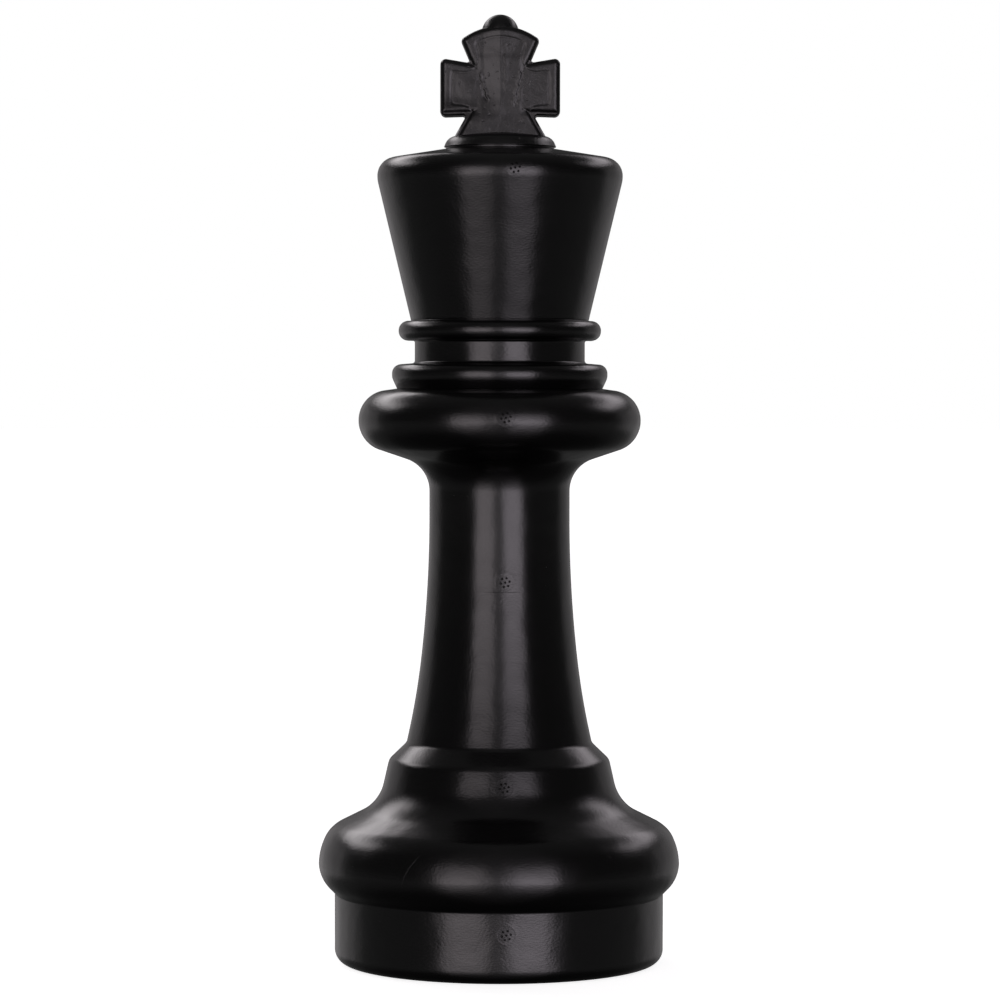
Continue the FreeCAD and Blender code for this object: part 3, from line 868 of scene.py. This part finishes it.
class KING_OT_head(bpy.types.Operator):
    """Build the blow-moulded head: two neck rings, flared crown and seat of the finial"""

    bl_idname = "king.head"
    bl_label = "Head Shell"

    def execute(self, context):
        king = context.scene.king_settings
        profile, outside_count = head_profile()
        seams = [king.vent_turn_head + math.pi / 2, king.vent_turn_head - math.pi / 2]
        outside = np.arange(len(profile)) < outside_count
        shown = outside & (profile[:, 0] > SEAM_LEAST_RADIUS) & (profile[:, 1] > SEAT_Z + SEAM_CLEAR)

        def offset(azimuth, points):
            return seam_shift(azimuth, points, seams, king.seam_height / MM) * shown

        azimuths = shell_azimuths(king.segments, seams)
        vertices, faces = turned(profile, azimuths, offset)
        skin = Skin(HEAD_OUTSIDE)
        front = king.vent_turn_head
        marks = [with_vents(
            skin, profile, outside_count, azimuths, vertices, faces, HEAD_VENTS, front,
            HEAD_VENT_PROUD, king)]
        for turn in (0.0, math.pi):
            marks += [witness_line(skin, front + turn, *line) for line in CROWN_LINES]
        shell = new_object("head_shell_moulded", "head", *joined(marks), finish_for("black_plastic"),
                           "black_plastic")
        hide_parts("head_shell")
        return {"FINISHED"}


# ------------------------------------------------------------------ cross finial

def loop_normals(loop):
    """Outward unit normals of a closed anticlockwise loop."""
    tangents = np.roll(loop, -1, axis=0) - np.roll(loop, 1, axis=0)
    tangents /= np.maximum(np.linalg.norm(tangents, axis=1, keepdims=True), 1e-9)
    return np.stack((tangents[:, 1], -tangents[:, 0]), axis=1)


def distance_to_loop(points, loop):
    """Distance of each point to a closed loop, and whether it is inside."""
    a = loop
    b = np.roll(loop, -1, axis=0)
    best = np.full(len(points), 1e9)
    inside = np.zeros(len(points), bool)
    for p, q in zip(a, b):
        d = q - p
        t = np.clip(((points - p) @ d) / max(float(d @ d), 1e-12), 0.0, 1.0)
        best = np.minimum(best, np.linalg.norm(points - p - t[:, None] * d, axis=1))
        spans = (p[1] > points[:, 1]) != (q[1] > points[:, 1])
        if p[1] != q[1]:
            cross_x = p[0] + (points[:, 1] - p[1]) * d[0] / d[1]
            inside ^= spans & (points[:, 0] < cross_x)
    return best, inside


def along_fold(points, start, end, wobble, phase):
    """Distance from a wavering fold line, and how far along it a point is from 0 to 1."""
    p = np.array(start)
    d = np.array(end) - p
    length = float(np.linalg.norm(d))
    d = d / length
    rel = points - p
    t = rel @ d / length
    side = rel[:, 0] * d[1] - rel[:, 1] * d[0]
    side = side + wobble * np.sin(t * 23.0 + phase) + 0.5 * wobble * np.sin(t * 57.0 + 2.0 * phase)
    return side, t


def smooth_step(value, low, high):
    t = np.clip((value - low) / (high - low), 0.0, 1.0)
    return t * t * (3.0 - 2.0 * t)


def soft_depth(points, loop):
    """How deep each point lies inside a closed loop, with the corners of equal depth rounded off."""
    spans = np.linalg.norm(np.roll(loop, -1, axis=0) - loop, axis=1)
    weights = (spans + np.roll(spans, 1)) / 2
    total = np.zeros(len(points))
    for p, weight in zip(loop, weights):
        total += weight / np.maximum(((points - p) ** 2).sum(axis=1), 0.01) ** 3
    return (total / (3 * math.pi / 8)) ** -0.2


def notched(points, corners, depth, least):
    """Depth inside the cross with its inward corners kept sharp, measured square to their two edges."""
    count = len(corners)
    sharp = depth
    for i in range(count):
        ends = [np.array(corners[k % count][:2]) for k in (i - 1, i, i + 1)]
        into, out = ends[1] - ends[0], ends[2] - ends[1]
        if into[0] * out[1] - into[1] * out[0] >= 0.0:
            continue
        lines = [((points - ends[1]) @ np.array((-d[1], d[0]))) / np.linalg.norm(d) for d in (into, out)]
        sink = LOW_NOTCH_SINK if ends[1][1] < CROSS_MIDDLE_Z else 0.0
        sharp = np.minimum(sharp, np.maximum(np.maximum(lines[0], lines[1]) - sink, least))
    return sharp


def face_swell(x, z, phase):
    """The slow swells of the cross's faces, in millimetres over their flat."""
    swell = 0.18 * np.clip(x, -11.0, 0.0) * smooth_step(z, 562.0, 580.0)
    swell += 0.03 * np.clip(x + 11.0, -29.0, 0.0)
    swell += 0.03 * (z - 600.0) * smooth_step(z, 572.0, 586.0) * smooth_step(-x, -20.0, 2.0)
    swell += 0.7 * np.exp(-((x + 19.0) / 9.0) ** 2 - ((z - 583.0) / 8.0) ** 2)
    swell += 0.05 * np.clip(568.0 - z, 0.0, 18.0) + 0.015 * np.clip(x - 13.0, 0.0, 27.0)
    swell -= 0.03 * np.clip(z - 606.0, 0.0, 20.0)
    swell += 0.1 * np.sin(x * 0.21 + phase) * np.cos(z * 0.17 + 1.7 * phase)
    return swell + 0.04 * np.sin(x * 0.5 + z * 0.31 + phase) * np.sin(z * 0.43 - x * 0.2)


def face_relief(points, depth, phase):
    """Height in millimetres of the marks on the cross's face: rim step, parison folds and ripples."""
    x, z = points[:, 0], points[:, 1]
    arms = smooth_step(np.abs(x), 12.0, 16.0)
    rim = np.maximum(arms, smooth_step(z, 603.0, 609.0)) * smooth_step(z, 566.0, 570.0)
    relief = -0.3 * smooth_step(depth, 6.0, 7.6) * rim
    relief -= 0.16 * np.exp(-((depth - 7.2) / 0.5) ** 2) * rim
    for start, end, height in CROSS_FOLDS:
        side, t = along_fold(points, start, end, 0.35, phase + start[0])
        fade = smooth_step(t, -0.05, 0.12) * (1.0 - smooth_step(t, 0.88, 1.05))
        relief += height * np.exp(-(side / 0.8) ** 2) * fade
        relief -= height * 0.8 * np.exp(-((side - 1.4) / 0.9) ** 2) * fade
    arm = smooth_step(x, 12.0, 17.0) * (1.0 - smooth_step(x, 32.0, 36.0))
    arm = arm * smooth_step(z, 568.0, 573.0) * (1.0 - smooth_step(z, 598.0, 603.0))
    bent = x * 0.8 + z * 0.9 + 0.9 * np.sin(x * 0.45 - z * 0.6 + phase)
    patchy = 0.5 + 0.5 * np.sin(x * 0.37 - z * 0.52 + 1.3) * np.sin(x * 0.83 + z * 0.29)
    relief += 0.035 * (np.sin(bent * 2.3) + 0.6 * np.sin(bent * 3.7 + x)) * arm * patchy
    return relief * smooth_step(depth, 2.5, 4.5)


def cross_plate():
    """The flat four-armed cross: rounded rim, parting ridge, and a worked face front and back."""
    half = CROSS_HALF[1:]
    left = [(-x, z, radius) for x, z, radius in half]
    corners = CROSS_HALF[:1] + left + half[::-1]
    loop = rounded(corners, 7.0, 1.0, closed=True)
    gaps = np.linalg.norm(np.roll(loop, -1, axis=0) - loop, axis=1)
    loop = loop[gaps > 1e-4]
    normals = loop_normals(loop)
    count = len(loop)
    rim_depth = 1.0
    last_turn = math.acos(1 - rim_depth / CROSS_EDGE)
    wall = CROSS_HALF_THICK - CROSS_EDGE
    levels = []
    steps = 5
    for k in range(steps + 1):
        t = last_turn * (1 - k / steps)
        levels.append((CROSS_EDGE * (1 - math.cos(t)), -wall - CROSS_EDGE * math.sin(t)))
    levels += [(0.0, -5.0), (0.0, -0.6), (-0.15, -0.2), (-0.15, 0.2), (0.0, 0.6), (0.0, 5.0)]
    levels += [(depth, -y) for depth, y in levels[steps::-1]]
    vertices = []
    for depth, y in levels:
        ring = loop - normals * depth
        vertices += [(x * MM, y * MM, z * MM) for x, z in ring]
    faces = []
    for r in range(len(levels) - 1):
        for i in range(count):
            j = (i + 1) % count
            faces.append((r * count + i, r * count + j, (r + 1) * count + j, (r + 1) * count + i))
    rim = loop - normals * rim_depth
    spacing = 0.6
    grid = np.stack(np.meshgrid(np.arange(-42.0, 42.0, spacing), np.arange(549.0, 634.0, spacing)), axis=-1)
    grid = grid.reshape(-1, 2)
    gap, inside = distance_to_loop(grid, rim)
    inner = grid[inside & (gap > spacing * 0.55)]
    points = [Vector(p) for p in rim] + [Vector(p) for p in inner]
    edges = [(i, (i + 1) % count) for i in range(count)]
    solved = delaunay_2d_cdt(points, edges, [list(range(count))], 1, 1e-5)
    flat = np.array([tuple(p) for p in solved[0]])
    true_depth = distance_to_loop(flat, loop)[0]
    on_rim = np.array([bool(sources) and sources[0] < count for sources in solved[3]])
    true_depth[on_rim] = rim_depth
    depth = soft_depth(flat, loop)
    into = np.clip(CROSS_EDGE - notched(flat, corners, true_depth, rim_depth), 0.0, CROSS_EDGE)
    crown = wall + np.sqrt(CROSS_EDGE ** 2 - into ** 2)
    for side, phase in ((-1.0, 0.4), (1.0, 2.3)):
        base = len(vertices)
        seen = flat * np.array((-side, 1.0))
        y = side * (crown + face_relief(seen, depth, phase) * ~on_rim)
        vertices += [(x * MM, here * MM, z * MM) for (x, z), here in zip(flat, y)]
        faces += [tuple(base + i for i in triangle) for triangle in solved[2]]
    placed = np.array(vertices) / MM
    for side, phase in ((-1.0, 0.4), (1.0, 2.3)):
        share = smooth_step(side * placed[:, 1], 2.0, CROSS_HALF_THICK - 2.0)
        placed[:, 1] += side * share * face_swell(-side * placed[:, 0], placed[:, 2], phase)
    return placed * MM, faces


class KING_OT_cross(bpy.types.Operator):
    """Build the cross finial: worked cross plate, ball on its crest, flange and threaded stud"""

    bl_idname = "king.cross"
    bl_label = "Cross Finial"

    def execute(self, context):
        azimuths = [math.tau * k / 120 for k in range(120)]
        foot = STUD_OUTSIDE + FLANGE_OUTSIDE
        low = rounded(foot, 6.0, 0.5)
        bore = np.array([(0.0, STUD_BORE_TOP_Z), (STUD_BORE, STUD_BORE_TOP_Z)])
        profile = np.concatenate((low, bore))
        threaded = (profile[:, 1] > STUD_THREAD_Z[0]) & (profile[:, 1] < STUD_THREAD_Z[1])
        threaded &= np.abs(profile[:, 0] - STUD_RADIUS) < 0.01

        def offset(azimuth, points):
            return helix_shift(azimuth, points[:, 1], STUD_THREAD) * threaded

        vertices, faces = turned(profile, azimuths, offset)
        base = (vertices, drop_axis_faces(vertices, faces))
        arc = [math.pi * k / 36 for k in range(37)]
        dome = np.array([(BALL_RADIUS * math.sin(a), BALL_Z - BALL_RADIUS * math.cos(a)) for a in arc])
        dome[0, 0] = dome[-1, 0] = 0.0
        vertices, faces = turned(dome, azimuths[::2], None, closed=False)
        ball = (vertices, drop_axis_faces(vertices, faces))
        vertices, faces = joined([base, ball, cross_plate()])
        piece = new_object("cross_finial_moulded", "head", vertices, faces, finish_for("cross_plastic"),
                           "cross_plastic", 40.0)
        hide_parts("cross_finial")
        return {"FINISHED"}


# ------------------------------------------------------------------ small CAD pieces

class KING_OT_small_pieces(bpy.types.Operator):
    """Give the plug, gasket, neck ring, washer, nut and sand their finishes"""

    bl_idname = "king.small_pieces"
    bl_label = "Plug, Rings, Nut and Sand"

    def execute(self, context):
        slots = {
            "fill_plug": "plug_plastic", "plug_gasket": "black_rubber", "neck_o_ring": "black_rubber",
            "finial_washer": "hidden_plastic", "finial_nut": "hidden_plastic", "sand_ballast": "sand"}
        for node, slot in slots.items():
            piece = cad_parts[node]
            finish = finish_for(slot)
            for place in piece.material_slots:
                place.material = finish
        return {"FINISHED"}


# ------------------------------------------------------------------ studio

def sky(tree, studio):
    """The dark studio with its two front softboxes, two high side ones and the pale table below.

    Azimuth is measured from -Y towards +X and elevation from the horizon, in degrees."""
    split = add(tree, "ShaderNodeSeparateXYZ")
    feed(tree, split, Vector=add(tree, "ShaderNodeTexCoord").outputs["Generated"])
    away = math_node(tree, "MULTIPLY", split.outputs["Y"], -1.0)
    azimuth = math_node(tree, "DEGREES", math_node(tree, "ARCTAN2", split.outputs["X"], away))
    elevation = math_node(tree, "DEGREES", math_node(tree, "ARCSINE", split.outputs["Z"]))
    unit = math_node(tree, "DIVIDE", math_node(tree, "ADD", elevation, 90.0), 180.0)

    def window(value, low, high, soft):
        rise = ramp(tree, value, low - soft, low + soft)
        fall = ramp(tree, value, high - soft, high + soft, 1.0, 0.0)
        return math_node(tree, "MULTIPLY", rise, fall)

    def gradient(stops):
        """Brightness by elevation, from (elevation, level) stops."""
        node = feed(tree, add(tree, "ShaderNodeValToRGB"), Fac=unit)
        elements = node.color_ramp.elements
        for place_at, _ in stops[1:-1]:
            elements.new((place_at + 90.0) / 180.0)
        for element, (place_at, level) in zip(elements, stops):
            element.position = (place_at + 90.0) / 180.0
            element.color = (level, level, level, 1.0)
        return node.outputs["Color"]

    def vector_math(operation, first, second):
        node = add(tree, "ShaderNodeVectorMath", operation=operation)
        for socket, value in ((node.inputs[0], first),
                              (node.inputs["Scale" if operation == "SCALE" else 1], second)):
            if isinstance(value, bpy.types.NodeSocket):
                tree.links.new(value, socket)
            else:
                socket.default_value = value
        return node.outputs[0]

    left = gradient([
        (-90, 0.0), (-60, 0.01), (-44, 0.03), (-28, 0.16), (-18, 0.32), (-8, 0.5), (-3, 0.92), (2, 0.62),
        (12, 0.46), (20, 0.34), (26, 0.15), (32, 0.04), (60, 0.01), (90, 0.0)])
    right = gradient([
        (-90, 0.0), (-60, 0.01), (-44, 0.04), (-28, 0.18), (-18, 0.36), (-8, 0.68), (-3, 1.18), (2, 0.8),
        (12, 0.52), (20, 0.36), (26, 0.16), (32, 0.04), (60, 0.01), (90, 0.0)])
    gap = gradient([(-90, 0.0), (-20, 0.04), (-8, 0.08), (-3, 0.2), (5, 0.12), (20, 0.04), (90, 0.0)])
    high = window(elevation, 25.0, 38.0, 8.0)
    low = window(elevation, -14.0, 16.0, 6.0)
    key = studio.key_radiance
    # brightness by elevation, azimuth from, to and softness of its edges, tint, radiance
    lamps = (
        (left, -39.0, -9.0, 3.0, (1.0, 0.905, 0.95), key),
        (right, 6.5, 37.0, 3.0, (1.0, 0.91, 1.0), key),
        (gap, -9.0, 6.5, 3.0, (1.0, 0.92, 0.97), key),
        (high, -168.0, -108.0, 12.0, (1.0, 0.95, 0.97), studio.back_radiance),
        (high, 104.0, 161.0, 12.0, (1.0, 0.93, 0.98), studio.back_radiance * RIGHT_RIM_SHARE),
        (low, -170.0, -118.0, 9.0, (1.0, 0.95, 0.97), LOW_RADIANCE[0]),
        (low, 118.0, 170.0, 9.0, (1.0, 0.95, 0.97), LOW_RADIANCE[1]),
    )
    room = gradient([
        (-90, 0.1), (-40, 0.5), (-22, 1.6), (-8, 2.2), (-3, 1.6), (2, 0.9), (30, 0.7), (90, 2.1)])
    total = vector_math("SCALE", room, studio.glossy_ambient)
    for level, start, end, soft, tint, radiance in lamps:
        seen = math_node(tree, "MULTIPLY", level, window(azimuth, start, end, soft))
        total = vector_math("ADD", total, vector_math("SCALE", [c * radiance for c in tint], seen))
    return total


class KING_OT_stage(bpy.types.Operator):
    """Set the floor, the soft studio light and the camera"""

    bl_idname = "king.stage"
    bl_label = "Floor, Light and Camera"

    def execute(self, context):
        scene = context.scene
        studio = scene.studio_settings
        world = bpy.data.worlds.new("Studio")
        scene.world = world
        world.use_nodes = True
        tree = world.node_tree
        tree.nodes.clear()
        room = feed(tree, add(tree, "ShaderNodeBackground"), Color=sky(tree, studio))
        paper = feed(tree, add(tree, "ShaderNodeBackground"), Color=(1.0, 1.0, 1.0, 1.0))
        seen_straight = add(tree, "ShaderNodeLightPath").outputs["Is Camera Ray"]
        mix = feed(tree, add(tree, "ShaderNodeMixShader"), Fac=seen_straight)
        tree.links.new(room.outputs[0], mix.inputs[1])
        tree.links.new(paper.outputs[0], mix.inputs[2])
        feed(tree, add(tree, "ShaderNodeOutputWorld"), Surface=mix.outputs[0])

        work = bmesh.new()
        bmesh.ops.create_grid(work, x_segments=1, y_segments=1, size=FLOOR_HALF)
        mesh = bpy.data.meshes.new("floor")
        work.to_mesh(mesh)
        work.free()
        floor = bpy.data.objects.new("floor", mesh)
        floor.location.z = -FLOOR_DROP
        scene.collection.objects.link(floor)
        paint, tree, shader = new_material("Pale Floor")
        feed(tree, shader, Base_Color=(0.86, 0.86, 0.86, 1.0), Roughness=0.9, Specular_IOR_Level=0.0,
             Emission_Color=(1.0, 1.0, 1.0, 1.0), Emission_Strength=0.85)
        mesh.materials.append(paint)
        floor.visible_glossy = False
        floor.visible_diffuse = False

        lens = bpy.data.cameras.new("camera")
        lens.lens = studio.lens
        lens.sensor_width = 36.0
        lens.clip_end = 100.0
        camera = bpy.data.objects.new("camera", lens)
        camera.location = (studio.camera_shift, -studio.camera_distance, studio.camera_height)
        camera.rotation_euler = (math.pi / 2 - studio.camera_tilt, studio.camera_roll, 0.0)
        scene.collection.objects.link(camera)
        scene.camera = camera
        scene.view_settings.view_transform = "Standard"
        return {"FINISHED"}


# ------------------------------------------------------------------ add-on

class KING_PT_panel(bpy.types.Panel):
    """Lists the king's pieces"""

    bl_idname = "KING_PT_panel"
    bl_label = "Lawn Chess King"
    bl_space_type = "VIEW_3D"
    bl_region_type = "UI"
    bl_category = "Chess King"

    def draw(self, context):
        for settings in (context.scene.king_settings, context.scene.studio_settings):
            for name in settings.__annotations__:
                self.layout.prop(settings, name)
        for operator in OPERATORS:
            self.layout.operator(operator.bl_idname)


OPERATORS = (KING_OT_body, KING_OT_head, KING_OT_cross, KING_OT_small_pieces, KING_OT_stage)
CLASSES = (KingSettings, StudioSettings) + OPERATORS + (KING_PT_panel,)


def register():
    for cls in CLASSES:
        bpy.utils.register_class(cls)
    bpy.types.Scene.king_settings = PointerProperty(type=KingSettings)
    bpy.types.Scene.studio_settings = PointerProperty(type=StudioSettings)


def unregister():
    del bpy.types.Scene.studio_settings
    del bpy.types.Scene.king_settings
    for cls in reversed(CLASSES):
        bpy.utils.unregister_class(cls)


def main():
    register()
    bpy.ops.king.body()
    bpy.ops.king.head()
    bpy.ops.king.cross()
    bpy.ops.king.small_pieces()
    bpy.ops.king.stage()


if __name__ == "__main__":
    main()
